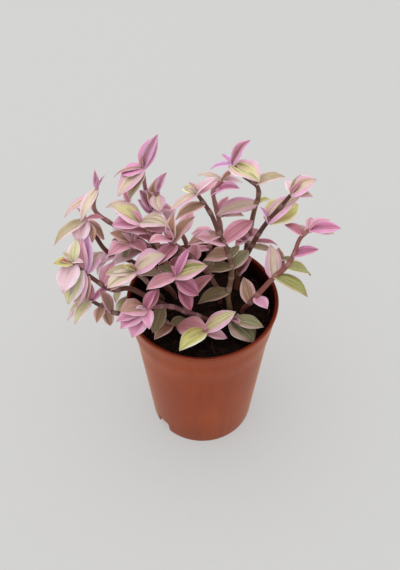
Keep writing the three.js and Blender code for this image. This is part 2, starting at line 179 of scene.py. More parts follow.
# Each leafy stem: its foot, the colours of its foot and tip, its route, and its leaves as
# (place, heading, rise, length, tone), with the width before the tone where it isn't the usual one.
# A side shoot has its place on the main stem, start, in place of a foot.
PLANTS = {
    "stem_centre": [dict(
        foot=(11, -1), tints=("#7a6248", "#5e3028"),
        route=[(10, 0, 74), (11, 2, 82), (11, 2, 89), (9, 4, 97), (6, 5, 104), (3, 7, 112), (-2, 8, 121)],
        leaves=[
            (1.3, 200, -10, 13, "olive"), (2.9, 48, 10, 10.5, 0.55, "olive"),
            (3, 188, -8, 9.5, 0.6, "olive"), (3.5, 55, 5, 7, 0.5, "olive"),
            (3.6, 160, -25, 11.5, 0.8, "brown"), (4.3, 195, 30, 13, "pink"), (4.4, 40, 8, 15, 0.5, "rose"),
            (4.9, 190, -12, 12.5, 0.5, "mauve"), (6.5, 200, -15, 12, 0.45, "brown"),
            (7, 215, -10, 12, 0.35, "blush"), (7, -10, 50, 11, 0.45, "lilac"), (7, 40, 5, 10, "pink"),
            (7, 125, -15, 8, 0.8, "lime"), (7, 140, -10, 7, 0.3, "cream"),
        ],
    )],
    "stem_back_centre": [dict(
        foot=(8, 21), tints=("#966a66", "#b57c7c"),
        route=[(8, 22, 79), (7, 23, 90), (5, 23, 101), (4, 22, 110), (7.4, 25, 112)],
        leaves=[
            (2.6, 52, 30, 8, 0.45, "pink"), (3.7, -25, 35, 13, "magenta"), (4, 45, -5, 10, "pink"),
            (5, 165, 10, 9.5, 0.38, "cream"), (5, 10, -12, 8, 0.6, "lilac"),
            (2.5, 5, -2, 10.5, 0.42, "brown"),
        ],
    )],
    "stem_back_arched": [dict(
        foot=(15, 17), tints=("#a5806c", "#6b4a3a"),
        route=[
            (18, 22, 79), (19, 22, 90), (20, 21, 101), (21, 20, 109), (20, 20, 114), (16, 21, 117),
            (11, 26, 119),
        ],
        leaves=[
            (3.4, 195, -5, 16, 0.5, "blush"), (3.4, 35, -15, 8, 0.35, "lime"),
            (5.2, 20, 5, 12, 0.42, "tan"), (3.2, 196, -12, 14, 0.42, "brown"),
            (7, -42, 0, 13, 0.9, "striped"), (7, 20, 60, 12, 0.6, "plum"), (7, -160, 5, 9, 0.4, "violet"),
        ],
    ), dict(
        start=1, tints=("#8a5c54", "#8a5c54"),
        route=[(18, 20, 83), (17, 19, 86)],
        leaves=[
            (2, 190, 30, 9, "rose"), (2, 50, 0, 8, "rose"), (2, -130, 15, 7, "pink"),
            (2, -40, 30, 6, "lilac"), (2, 100, 10, 7, "rose"),
        ],
    )],
    "stem_right_back": [dict(
        foot=(14, 11), tints=("#7a4c3c", "#52281f"),
        route=[(15, 12, 77), (18, 12, 87), (21, 11, 97), (24, 10, 105), (28, 11, 111), (32, 12, 117)],
        leaves=[
            (0.7, 15, 60, 10, "pink"), (4, 170, 65, 8, "violet"), (4, 20, 40, 15, "blush"),
            (4, 34, 3, 15, 0.9, "lime"), (6, 100, 0, 8, 0.4, "lilac"), (6, 0, 40, 11, 0.8, "blush"),
            (6, -20, 10, 8, "blush"), (6, 60, 30, 8, 0.4, "olive"), (2.3, -12, -5, 8.5, 0.42, "tan"),
            (2.6, 0, -8, 9.5, 0.3, "rose"),
        ],
    )],
    "stem_right_runner": [dict(
        foot=(16, -1), tints=("#7d443c", "#9c6058"),
        route=[(20, -3, 76), (27, 0, 85), (31, 1, 89), (34, 3, 94), (36, 5, 101), (39, 5, 106)],
        leaves=[
            (0.7, 110, 40, 10.5, 0.6, "brown"), (1.1, -62, 12, 8.5, 0.65, "orchid"),
            (2, 100, 55, 13, "blush"), (2.2, 80, 20, 12, 0.45, "brown"), (2.1, -25, -18, 15, 0.45, "green"),
            (3.2, 15, -32, 13, 0.6, "green"), (3.6, 120, -35, 7, "olive"), (4, 0, 20, 10, 0.5, "magenta"),
            (5.4, 150, 10, 8, 0.6, "rose"), (5.4, 95, -15, 8, "striped"), (6, -10, 12, 11.5, "magenta"),
            (6, 5, -15, 10, 0.5, "striped"), (5.7, 30, 10, 10.5, "pink"), (6, 75, 0, 7, "pink"),
        ],
    )],
    "stem_front": [dict(
        foot=(2, -13), tints=("#a06a62", "#a06a62"),
        route=[(1, -15, 70), (1, -17, 74)],
        leaves=[
            (1.5, -10, -15, 9, "pink"), (2, -140, 0, 13, 0.6, "lime"), (2, 15, 30, 14, "striped"),
            (2, 160, -10, 12, 0.8, "pink"),
        ],
    )],
    "stem_front_right": [dict(
        foot=(11, -8), tints=("#8d6258", "#8d6258"),
        route=[(11, -9, 69), (12, -10, 72)],
        leaves=[(1.4, -41, -15, 12, 0.95, "olive"), (2, -60, 30, 5, "pink"), (2, -15, -5, 12, "olive")],
    )],
    "stem_left_front": [dict(
        foot=(3, -7), tints=("#5f3630", "#986068"),
        route=[(-1, -8, 71), (-6, -8, 74), (-11, -8, 77), (-16, -10, 80), (-21, -15, 85)],
        leaves=[
            (3.8, -115, -40, 11, "olive"), (5, -150, 25, 11, 0.8, "mauve"), (5, 30, 55, 9, "magenta"),
            (5, -80, -5, 9, "orchid"), (5, 55, 20, 9, 0.65, "orchid"), (5, -120, -30, 12, 0.7, "orchid"),
            (5, -145, -20, 12, 0.7, "orchid"), (5, -155, -10, 12, "orchid"), (5, -135, 25, 5, "lilac"),
        ],
    ), dict(
        start=2, tints=("#93606a", "#93606a"),
        route=[(-7, -8, 82), (-9, -7, 90), (-10, -7, 94)],
        leaves=[
            (0.9, 35, 25, 15, 0.4, "pink"), (1.6, -55, -35, 9, 0.6, "magenta"),
            (2.4, -25, -30, 10, 0.8, "magenta"), (3, 8, 15, 12.5, 0.8, "striped"),
            (3, -148, 0, 12.5, 0.5, "pink"), (3, 135, -15, 10, "olive"), (3, 60, 30, 12, 0.3, "magenta"),
        ],
    )],
    "stem_front_low": [dict(
        foot=(-10, -10), tints=("#704a42", "#704a42"),
        route=[(-11, -11, 69), (-12, -12, 71)],
        leaves=[(2, -130, 5, 10, "brown"), (2, 40, -15, 8, "olive")],
    )],
    "stem_middle": [dict(
        foot=(7, 3), tints=("#6a403a", "#7c4a44"),
        route=[(6, 3, 74), (3, 4, 81), (-1, 4, 88), (-6, 4, 95), (-11, 4, 100), (-12, 3, 104)],
        leaves=[
            (2.6, 65, -10, 8, "olive"), (3.4, 75, 80, 9, "pink"), (4.8, -120, 0, 12, "rose"),
            (5.3, -170, 80, 9, "lilac"), (5, 35, 45, 13, 0.4, "brown"), (5.4, 70, 70, 11, 0.4, "brown"),
            (5.6, -140, 30, 11, "pink"),
        ],
    )],
    "stem_cream": [dict(
        foot=(-16, 5), tints=("#76504a", "#a3837a"),
        route=[(-19, 1, 76), (-21, -2, 85), (-23.8, -4.5, 92), (-24.7, -5.5, 95.5)],
        leaves=[
            (4, -140, 0, 13, 0.6, "cream"), (4, 8, 32, 13, 0.8, "blush"), (4, -160, 45, 6, "lime"),
            (3.2, 35, -35, 13, 0.6, "tan"), (3.6, -150, -20, 12, "brown"), (4, 180, -20, 12, "brown"),
            (3.5, -165, 12, 12, 0.45, "tan"),
        ],
    )],
    "stem_left_runner": [dict(
        foot=(-13, 0), tints=("#74443c", "#64382e"),
        route=[(-20, -3, 76), (-28, -2, 81), (-35, -4, 83), (-44, -2, 90), (-48, -2, 96)],
        leaves=[
            (2.5, -130, -50, 6, "pale_lime"), (3, 70, 20, 10, 0.7, "lilac"), (3.3, 60, 40, 10, 0.6, "pink"),
            (4, 58, 15, 11, 0.65, "blush"), (3.9, -90, -30, 10, 0.35, "brown"),
            (4, 110, 55, 13, 0.4, "brown"), (4.1, 92, 60, 13, 0.35, "pink"), (4, 78, 50, 15, 0.4, "violet"),
            (4.25, -95, -35, 14, 0.5, "blush"), (4.3, -114, -30, 14, 0.6, "pale_lime"),
            (4.9, -108, -25, 12, 0.75, "lilac"), (5, 190, 5, 7, 0.9, "lime"), (5, 80, 30, 9, "pale_lime"),
            (5, 185, 15, 5, 0.5, "rust"), (5, -20, 20, 5, "lilac"), (5, 130, 10, 6, "pale_lime"),
        ],
    )],
    "stem_left_low": [dict(
        foot=(-15, -6), tints=("#6d4640", "#5d3a30"),
        route=[(-20, -8, 72), (-26, -10, 76), (-34, -9, 75), (-43, -6, 79)],
        leaves=[
            (2.8, 70, 10, 8, "pale_lime"), (3.1, 150, 65, 11, 0.5, "mauve"), (3.4, -60, -60, 8, "brown"),
            (3.5, -100, 5, 8, "brown"), (3.6, 30, -50, 8, "brown"), (3.9, 35, 20, 11.5, 0.28, "magenta"),
            (4, -115, -5, 12, 0.45, "pale_lime"), (4, -137, -15, 12, 0.2, "lilac"), (4, 100, 50, 8, "rose"),
            (4, -150, -20, 10, 0.45, "pale_lime"),
        ],
    )],
    "stem_left_tall": [dict(
        foot=(-13, 18), tints=("#7b504c", "#a87c74"),
        route=[(-21, 20, 80), (-28, 20, 88), (-36, 18, 97), (-41, 18, 104), (-39, 18, 114)],
        leaves=[
            (2.2, 90, 5, 8, "pink"), (4.7, -154, -22, 14.4, 0.3, "blush"),
            (5, -115, -15, 14, 0.32, "cream"), (5, 50, 40, 6, 0.2, "plum"), (5, 90, 75, 8, 0.3, "plum"),
        ],
    )],
    "stem_left_star": [dict(
        foot=(-14, 10), tints=("#74443c", "#64382e"),
        route=[(-21, 10, 77), (-29, 11, 83), (-37, 11, 88), (-41, 12, 96), (-44, 13, 103)],
        leaves=[
            (5, -142, -15, 15, 0.38, "tan"), (5, -30, 30, 10, 0.3, "rose"),
            (4.8, 8, -62, 11.5, 0.62, "brown"), (4.8, -70, -25, 8, "brown"),
            (5, -108, -25, 10, 0.7, "lilac"), (2.6, 200, -10, 10, "pink"),
            (2.9, -130, -40, 10, 0.4, "lilac"),
        ],
    )],
    "stem_tall": [dict(
        foot=(-9, 20), tints=("#8a5c54", "#b08088"),
        route=[(-12, 23, 77), (-15, 25, 86), (-18, 25, 95), (-21, 25, 104), (-22, 24, 113), (-22, 24, 119)],
        leaves=[
            (6, 55, 50, 13, 0.55, "magenta"), (6, 40, 55, 14, 0.35, "plum"),
            (6, -140, -28, 14, 0.62, "blush"), (5.8, -122, -35, 12, 0.5, "tan"),
            (6, 190, -12, 8.5, 0.85, "magenta"), (6, 189, -11, 11.5, 0.16, "mauve"),
        ],
    )],
    "stem_upper_left": [dict(
        foot=(-12, 15), tints=("#6f423a", "#6f423a"),
        route=[(-17, 16, 77), (-20, 16, 88), (-25, 17, 99), (-28, 18, 107)],
        leaves=[(4, 190, -4, 8.5, 0.42, "cream"), (4, 95, 35, 7, 0.5, "lilac"), (3.2, -160, 30, 8, "pink")],
    )],
    "stem_striped": [dict(
        foot=(-9, 10), tints=("#7b504c", "#b58a7a"),
        route=[(-13, 9, 79), (-16, 9, 91), (-20, 10, 99), (-23, 11, 104)],
        leaves=[
            (0.9, 65, 20, 8, "rose"), (2.2, -40, 15, 9, "rose"), (2.5, -165, 35, 8, "rose"),
            (2.6, 70, 0, 8, "rose"), (3.4, 20, -25, 11, "rose"), (3.1, 185, 12, 10, 0.6, "pink"),
            (4, 172, 30, 12.5, 0.85, "striped"), (4, -22, 15, 11.5, 0.85, "cream"),
            (4, 120, 10, 6, 0.5, "orchid"), (4, 195, 5, 11, 0.7, "orchid"),
        ],
    )],
    "stem_upper_middle": [dict(
        foot=(-5, 16), tints=("#6f423a", "#804656"),
        route=[(-9, 18, 78), (-13, 19, 88), (-17, 19, 96), (-19, 19, 103), (-17, 19, 112)],
        leaves=[
            (2.7, 40, 35, 10, "lilac"), (3.6, 50, 5, 8, "pink"), (4, 150, 55, 9, 0.75, "plum"),
            (4, 80, 45, 12, 0.42, "brown"), (4.8, -75, -15, 7.5, 0.8, "blush"),
            (4, 150, 75, 9, 0.4, "brown"), (4, -20, 15, 9, "pink"), (3.6, 142, 30, 8.5, 0.6, "plum"),
            (5, 56, 40, 8, 0.45, "plum"),
        ],
    )],
    "stem_rosy": [dict(
        foot=(-11, 6), tints=("#6f423a", "#8a544e"),
        route=[(-15, 5, 77), (-20, 8, 85), (-27, 9, 95)],
        leaves=[
            (2.6, -165, -20, 13, "lilac"), (3, 160, 15, 9, 0.6, "brown"), (3, -140, 5, 11, 0.65, "pink"),
            (3, -50, 15, 10, "rose"), (3, 85, 10, 8, "pink"), (3, -138, -60, 8, 0.45, "olive"),
            (3, 5, -50, 12, "rose"), (3, 178, 12, 7.5, 0.7, "brown"), (3, 130, 5, 11, 0.7, "lilac"),
        ],
    )],
    "stem_rear": [dict(
        foot=(2, 22), tints=("#6f423a", "#8a544e"),
        route=[(3, 26, 75), (4, 32, 76), (6, 37, 70)],
        leaves=[
            (0.9, 200, 0, 8, "rose"), (1.6, 20, -10, 11, "cream"), (2.2, 150, -25, 12, "pink"),
            (3, 30, -45, 12, "striped"), (3, 120, -60, 12, "blush"),
        ],
    )],
    "stem_rear_left": [dict(
        foot=(-5, 22), tints=("#6f423a", "#8a544e"),
        route=[(-7, 27, 77), (-11, 31, 80), (-17, 33, 82), (-24, 34, 80)],
        leaves=[
            (1.5, 60, 25, 11, "pink"), (2.2, 190, 25, 12, "lilac"), (2.9, 90, -10, 12, "striped"),
            (4, 140, -30, 12, "cream"), (4, 215, -5, 12, "magenta"),
        ],
    )],
}


# -------- materials


def paint(code):
    """A "#rrggbb" screen colour as the linear red, green, blue and alpha that a shader takes."""
    shares = np.array([int(code[i : i + 2], 16) for i in (1, 3, 5)]) / 255
    linear = np.where(shares <= 0.04045, shares / 12.92, ((shares + 0.055) / 1.055) ** 2.4)
    return (*linear, 1.0)


def under_rim(depth):
    """The height in metres of a place that lies so many millimetres under the rim."""
    return (POT_HEIGHT - depth) * MM


class Value:
    """One output of a shader node. Sums, differences and products of values add the Math nodes."""

    def __init__(self, finish, socket):
        self.finish = finish
        self.socket = socket

    def maths(self, operation, *others):
        """A Math node on this value and the others, in that order."""
        return self.finish.node("ShaderNodeMath", dict(operation=operation), dict(enumerate((self, *others))))

    def __add__(self, other):
        return self.maths("ADD", other)

    def __mul__(self, other):
        return self.maths("MULTIPLY", other)

    def __sub__(self, other):
        return self.maths("SUBTRACT", other)

    def __rsub__(self, other):
        return self.finish.node("ShaderNodeMath", dict(operation="SUBTRACT"), {0: other, 1: self})

    def __abs__(self):
        return self.maths("ABSOLUTE")

    __radd__ = __add__
    __rmul__ = __mul__

    def wave(self):
        """The cosine of the value, moved from -1..1 to 0..1."""
        return self.maths("COSINE") * 0.5 + 0.5

    def step(self, low, high):
        """Eases from 0 at low to 1 at high, and stays level outside them."""
        settings = dict(interpolation_type="SMOOTHSTEP")
        inputs = {"Value": self, "From Min": low, "From Max": high}
        return self.finish.node("ShaderNodeMapRange", settings, inputs)


class Finish:
    """A material with one Principled shader, whose nodes are added by plain calls."""

    def __init__(self, name, **constants):
        self.material = bpy.data.materials.new(name)
        self.material.use_nodes = True
        self.tree = self.material.node_tree
        self.shader = self.tree.nodes["Principled BSDF"]
        for socket, value in constants.items():
            self.shader.inputs[socket.replace("_", " ")].default_value = value

    def node(self, kind, settings=(), inputs=(), output=0):
        """Adds a node of that type, sets its settings, then the values or links of its sockets."""
        node = self.tree.nodes.new(kind)
        for name, value in dict(settings).items():
            setattr(node, name, value)
        sockets = {socket.identifier: socket for socket in node.inputs}
        for key, value in dict(inputs).items():
            socket = node.inputs[key] if isinstance(key, int) or key not in sockets else sockets[key]
            if isinstance(value, Value):
                self.tree.links.new(value.socket, socket)
            else:
                socket.default_value = paint(value) if isinstance(value, str) else value
        return Value(self, node.outputs[output])

    def split(self, vector):
        """The three numbers of a vector."""
        return [self.node("ShaderNodeSeparateXYZ", (), {0: vector}, axis) for axis in range(3)]

    def join(self, x, y, z):
        """A vector from three numbers."""
        return self.node("ShaderNodeCombineXYZ", (), {0: x, 1: y, 2: z})

    def attribute(self, name, output="Vector"):
        """A value that the mesh carries at its points."""
        return self.node("ShaderNodeAttribute", dict(attribute_name=name), (), output)

    def places(self):
        """The point's place on the object, in metres."""
        return self.node("ShaderNodeTexCoord", (), (), "Object")

    def noise(self, vector, scale, detail=2.0, roughness=0.5):
        """Soft random grain between 0 and 1."""
        inputs = {"Vector": vector, "Scale": scale, "Detail": detail, "Roughness": roughness}
        return self.node("ShaderNodeTexNoise", (), inputs)

    def cells(self, vector, scale):
        """The distance to the nearest of a field of scattered points."""
        return self.node("ShaderNodeTexVoronoi", (), {"Vector": vector, "Scale": scale})

    def blend(self, first, second, share, kind="MIX"):
        """One colour over another, by a share between 0 and 1. A colour may be a "#rrggbb" code."""
        inputs = {"Factor_Float": share, "A_Color": first, "B_Color": second}
        return self.node("ShaderNodeMix", dict(data_type="RGBA", blend_type=kind), inputs, 2)

    def layers(self, colour, *over):
        """A colour under others, which are laid on it in order: each is a colour and its share."""
        for second, share in over:
            colour = self.blend(colour, second, share)
        return colour

    def shade(self, colour, share):
        """A colour made darker or lighter: times the share, which is near 1."""
        return self.node("ShaderNodeVectorMath", dict(operation="SCALE"), {0: colour, "Scale": share})

    def wear(self, colour, roughness, relief=None, depth=0.0, strength=0.0):
        """Gives the shader its colour and roughness, and a relief so deep in metres and so strong."""
        self.tree.links.new(colour.socket, self.shader.inputs["Base Color"])
        self.tree.links.new(roughness.socket, self.shader.inputs["Roughness"])
        if relief is not None:
            inputs = {"Height": relief, "Strength": strength, "Distance": depth}
            bump = self.node("ShaderNodeBump", (), inputs)
            self.tree.links.new(bump.socket, self.shader.inputs["Normal"])
        return self.material


def leaf_finish():
    """A satin blade: pink margin, pale or green middle, lengthwise streaks, pale midrib and fine veins.

    The leaves high up on both sides get painted light, which makes them paler. Those low in the crowd,
    which stands a little to the left of the pot's middle, get painted shade, which deepens their colour.
    """
    finish = Finish(
        "leaf",
        Specular_IOR_Level=0.35,
        Subsurface_Weight=0.35,
        Subsurface_Radius=(1.0, 0.55, 0.5),
        Subsurface_Scale=0.9 * MM,
    )
    along, across, side = finish.split(finish.attribute("blade"))
    reach, strength, seed = finish.split(finish.attribute("habit"))
    margin, band, streak = [finish.attribute(name, "Color") for name in ("margin", "band", "streak")]

    out = abs(across)
    wander = finish.noise(finish.join(along * 2.2, seed * 37, across * 1.3), 1.0) - 0.5
    middle = (out + across * (seed - 0.5) * 0.6 + wander * 0.35 - reach).step(0.16, -0.16)
    lines = finish.noise(finish.join(along * 0.8, across * 5.5, seed * 53), 1.0, detail=3, roughness=0.6)
    lined = lines.step(0.47, 0.60) * middle * strength
    light = "#f6e6e0"
    colour = finish.layers(
        margin,
        (band, middle),
        (streak, lined),
        (light, (out + along * 0.02).step(0.06, 0.02) * 0.35),
        (light, out.step(0.90, 0.97) * 0.55),
        ("#b9809a", along.step(0.86, 1.0) * 0.45),
    )

    place = finish.places()
    x, y, height = finish.split(place)
    veins = (across * 46).wave()
    grain = finish.noise(place, 900, detail=3)
    blotch = finish.noise(finish.join(along * 3, across * 1.2, seed * 71), 1.3)
    # Painted light: leaves high up and out to both sides are made paler.
    painted_light_high = height.step(95 * MM, 112 * MM) * abs(x + 8 * MM).step(12 * MM, 22 * MM)
    tone = veins * 0.05 + grain * 0.10 + blotch * 0.24 + seed * 0.12 + painted_light_high * 0.13 + 0.72
    colour = finish.shade(colour, tone)
    # Painted shade: a multiply deepens the low leaves in the crowd, a little left of the pot's middle.
    off_x, off_y = x + 10 * MM, y - 2 * MM
    inside = (off_x * off_x + off_y * off_y).step(650 * MM**2, 250 * MM**2)
    colour = finish.blend(colour, "#d4bfb6", height.step(102 * MM, 84 * MM) * inside, "MULTIPLY")
    colour = finish.blend(colour, "#c58aa2", side.step(0.1, -0.4) * 0.45)

    roughness = grain * 0.18 + veins * 0.06 + 0.36
    relief = veins * 0.35 + grain * 0.25 + lines * 0.4
    return finish.wear(colour, roughness, relief, depth=0.12 * MM, strength=0.55)


def stalk_finish():
    """A fleshy stem: brown-pink with fine lengthwise lines, dark rings at the nodes and papery sheaths."""
    finish = Finish("stalk", Specular_IOR_Level=0.4)
    cosine, sine, along = finish.split(finish.attribute("round"))
    sheath, ring = finish.split(finish.attribute("joint"))[:2]

    lines = finish.noise(finish.join(cosine * 3.5, sine * 3.5, along * 0.12), 1.0, detail=3, roughness=0.6)
    spots = finish.noise(finish.places(), 700, detail=3)
    tint = finish.attribute("tint", "Color")
    colour = finish.layers(
        tint,
        ("#6b4238", lines.step(0.5, 0.75) * 0.45),
        ("#d8b0aa", sheath * (lines * 0.3 + 0.1)),
        ("#5c372e", ring * 0.35),
    )
    colour = finish.shade(colour, spots * 0.3 + 0.78)

    relief = lines * 0.7 + spots * 0.3
    return finish.wear(colour, spots * 0.2 + 0.36, relief, depth=0.2 * MM, strength=0.5)


def pot_finish():
    """Thin moulded plastic: satin terracotta, soft flow marks, fine scuffs; painted shade at the foot and lip
    edge.
    """
    finish = Finish(
        "pot_plastic",
        Specular_IOR_Level=0.18,
        Sheen_Weight=0.48,
        Sheen_Roughness=0.2,
        Sheen_Tint=paint("#ffd0a8"),
    )
    place = finish.places()
    x, y, height = finish.split(place)
    cloud = finish.noise(place, 34, detail=3)
    flow = finish.noise(finish.join(x * 260, y * 260, height * 14), 1.0)
    grain = finish.noise(place, 2600)
    scuffs = finish.noise(finish.join(x * 90, y * 90, height * 620), 1.0, detail=4, roughness=0.65)

    colour = finish.layers(
        "#993e12",
        ("#a74816", cloud.step(0.35, 0.7)),
        ("#843610", flow.step(0.45, 0.7) * 0.3),
        ("#ab7358", scuffs.step(0.62, 0.74) * 0.16),
        # painted shade: darker towards the foot
        ("#6e2c10", height.step(26 * MM, 0.0) * 0.35),
        # painted shade: browner along the top edge of the lip
        ("#7a3a26", height.step(under_rim(1.4), under_rim(0.2)) * 0.7),
    )
    colour = finish.shade(colour, grain * 0.08 + 0.96)

    roughness = grain * 0.1 + scuffs.step(0.55, 0.75) * 0.16 + cloud * 0.08 + 0.28
    return finish.wear(colour, roughness, grain * 0.5 + flow * 0.5, depth=0.06 * MM, strength=0.35)


def painted_shade_lining_finish():
    """Lip top and inner wall, same plastic in painted shade: maroon at the lip, near black lower, blotched.
    """
    finish = Finish("pot_painted_shade_lining", Specular_IOR_Level=0.08)
    place = finish.places()
    height = finish.split(place)[2]
    cloud = finish.noise(place, 120, detail=4, roughness=0.6)
    grain = finish.noise(place, 2600)
    # Painted shade: maroon at the lip's top, darker under the rim, near black deeper inside, with dark
    # blotches.
    colour = finish.layers(
        "#641f10",
        ("#2a0b05", height.step(under_rim(0.1), under_rim(1.5))),
        ("#120503", height.step(under_rim(2.5), under_rim(6)) * 0.8),
        ("#1c0c06", cloud.step(0.5, 0.7) * 0.5),
    )
    colour = finish.shade(colour, grain * 0.2 + 0.9)
    relief = cloud * 0.6 + grain * 0.4
    return finish.wear(colour, grain * 0.2 + 0.55, relief, depth=0.1 * MM, strength=0.4)


def peat_finish():
    """Damp peat: nearly black brown with paler crumbs, matt between small wet glints."""
    finish = Finish("peat", Specular_IOR_Level=0.12)
    place = finish.places()
    clods = finish.noise(place, 260, detail=6, roughness=0.7)
    bits = finish.cells(place, 900)
    grain = finish.noise(place, 2400, detail=3)
    colour = finish.layers(
        "#100603",
        ("#2e1a10", clods.step(0.42, 0.72)),
        ("#4e301f", bits.step(0.18, 0.05) * clods.step(0.4, 0.65) * 0.8),
    )
    colour = finish.shade(colour, grain * 0.7 + 0.6)
    roughness = clods.step(0.3, 0.7) * 0.25 + 0.7
    return finish.wear(colour, roughness, clods + grain * 0.4, depth=1.2 * MM, strength=0.9)


def fibre_finish():
    """Dry root fibres and husk, in patches of tan and dark brown."""
    finish = Finish("fibre", Specular_IOR_Level=0.2)
    place = finish.places()
    patches = finish.noise(place, 420, detail=3)
    grain = finish.noise(place, 3000)
    colour = finish.blend("#2e190f", "#6b4029", patches.step(0.4, 0.7))
    colour = finish.shade(colour, grain * 0.4 + 0.8)
    return finish.wear(colour, grain * 0.2 + 0.65, grain, depth=0.1 * MM, strength=0.4)


def floor_finish():
    """Plain pale matt board."""
    finish = Finish("floor", Specular_IOR_Level=0.1, Emission_Color=paint("#ffffff"), Emission_Strength=0.36)
    grain = finish.noise(finish.places(), 160)
    colour = finish.blend("#8b8b89", "#8e8e8c", grain)
    return finish.wear(colour, grain * 0.02 + 0.88)


# -------- mesh tools


def make_piece(name, points, quads, triangles=(), attributes=None, materials=(), slots=None):
    """A mesh object from point and face arrays in millimetres. attributes holds a value for each point."""
    mesh = bpy.data.meshes.new(name)
    quads = np.asarray(quads, np.int32).reshape(-1, 4)
    triangles = np.asarray(triangles, np.int32).reshape(-1, 3)
    corners = np.concatenate([quads.ravel(), triangles.ravel()])
    starts = np.concatenate([np.arange(len(quads)) * 4, len(quads) * 4 + np.arange(len(triangles)) * 3])
    mesh.vertices.add(len(points))
    mesh.vertices.foreach_set("co", (np.asarray(points) * MM).astype(np.float32).ravel())
    mesh.loops.add(len(corners))
    mesh.loops.foreach_set("vertex_index", corners.astype(np.int32))
    mesh.polygons.add(len(starts))
    mesh.polygons.foreach_set("loop_start", starts.astype(np.int32))
    mesh.polygons.foreach_set("use_smooth", np.ones(len(starts), bool))
    if slots is not None:
        mesh.polygons.foreach_set("material_index", np.asarray(slots, np.int32))
    for key, values in (attributes or {}).items():
        kind, field = ("FLOAT_COLOR", "color") if values.shape[1] == 4 else ("FLOAT_VECTOR", "vector")
        mesh.attributes.new(key, kind, "POINT").data.foreach_set(field, values.astype(np.float32).ravel())
    for material in materials:
        mesh.materials.append(material)
    mesh.update(calc_edges=True)
    piece = bpy.data.objects.new(name, mesh)
    bpy.context.scene.collection.objects.link(piece)
    return piece


def circle(count):
    """Angles spaced evenly round a full turn."""
    return np.arange(count) / count * 2 * math.pi


def turned(x, y, angle):
    """The plane point (x, y) turned by an angle: (x cos - y sin, x sin + y cos)."""
    return x * np.cos(angle) - y * np.sin(angle), x * np.sin(angle) + y * np.cos(angle)


def unit(vectors):
    """Each row divided by its length."""
    return vectors / np.linalg.norm(vectors, axis=1, keepdims=True)


def tube_rings(centres, tangents, axis, radius, sides):
    """Rings of points across a line, each from a start at right angles to its tangent and the axis."""
    side = unit(np.cross(tangents, axis))
    other = np.cross(tangents, side)
    around = circle(sides)[:, None]
    spokes = side[:, None] * np.cos(around) + other[:, None] * np.sin(around)
    return centres[:, None] + spokes * radius[:, None, None]


def grid_faces(rows, columns):
    """Quads of a grid of rows that each close into a ring, with the ring numbered first."""
    row, column = np.meshgrid(np.arange(rows - 1), np.arange(columns), indexing="ij")
    following = (column + 1) % columns
    corners = [row * columns + column, row * columns + following, (row + 1) * columns + following]
    return np.stack([*corners, (row + 1) * columns + column], axis=-1).reshape(-1, 4)


def fan_faces(ring, pole, forward):
    """Triangles from every edge of a ring to a pole point."""
    following = np.roll(ring, -1)
    ends = (ring, following) if forward else (following, ring)
    return np.stack([*ends, np.full(len(ring), pole)], axis=-1)


def capped_rings(rings, start, end):
    """A closed skin over rings of points, with a pole point at each end: (points, quads, triangles)."""
    rows, columns = rings.shape[:2]
    points = np.concatenate([rings.reshape(-1, 3), [start, end]])
    first, last = np.arange(columns), (rows - 1) * columns + np.arange(columns)
    caps = [fan_faces(first, rows * columns, False), fan_faces(last, rows * columns + 1, True)]
    return points, grid_faces(rows, columns), np.concatenate(caps)


def joined(skins):
    """Several skins as one: points, faces and attributes in a row, with the face numbers moved on."""
    counts = np.cumsum([0, *(len(skin[0]) for skin in skins)])
    points = np.concatenate([skin[0] for skin in skins])
    quads, triangles = [
        np.concatenate([skin[kind] + count for skin, count in zip(skins, counts)]) for kind in (1, 2)
    ]
    attributes = {key: np.concatenate([skin[3][key] for skin in skins]) for key in skins[0][3]}
    return points, quads, triangles, attributes


def smooth(value, low, high):
    """0 below low, 1 above high, and 3t^2 - 2t^3 between them."""
    t = np.clip((value - low) / (high - low), 0, 1)
    return t * t * (3 - 2 * t)


def lattice_noise(x, y, seed):
    """Random heights at whole-number places, joined smoothly: bilinear with eased shares, from -1 to 1."""
    size = 64
    heights = np.random.default_rng(seed).uniform(-1, 1, (size, size))
    column, row = np.floor(x).astype(int), np.floor(y).astype(int)
    share_x, share_y = smooth(x - column, 0, 1), smooth(y - row, 0, 1)

    def level(line):
        here, beyond = heights[line % size, column % size], heights[line % size, (column + 1) % size]
        return here * (1 - share_x) + beyond * share_x

    return level(row) * (1 - share_y) + level(row + 1) * share_y


def rugged(x, y, spacing, seed, octaves):
    """Lattice noise in octaves: each has half the spacing and 0.55 of the height of the one before."""
    x, y = x / spacing, y / spacing
    return sum(0.55**k * lattice_noise(x * 2**k, y * 2**k, seed + k) for k in range(octaves))


# -------- stems and leaves


def curve_points(route, shares):
    """Points of a uniform Catmull-Rom curve through the route, at shares of its segments counted evenly.

    On the segment from p1 to p2 the tangents are half of p2 - p0 and half of p3 - p1, and the point is
    the cubic Hermite sum of both ends and both tangents. The end segments mirror their missing point.
    """
    padded = np.concatenate([[2 * route[0] - route[1]], route, [2 * route[-1] - route[-2]]])
    place = np.clip(shares, 0, 1) * (len(route) - 1)
    first = np.minimum(place.astype(int), len(route) - 2)
    t = (place - first)[:, None]
    p0, p1, p2, p3 = [padded[first + k] for k in range(4)]
    v1, v2 = (p2 - p0) / 2, (p3 - p1) / 2
    cubic = (2 * p1 - 2 * p2 + v1 + v2) * t**3
    return cubic + (-3 * p1 + 3 * p2 - 2 * v1 - v2) * t**2 + v1 * t + p1


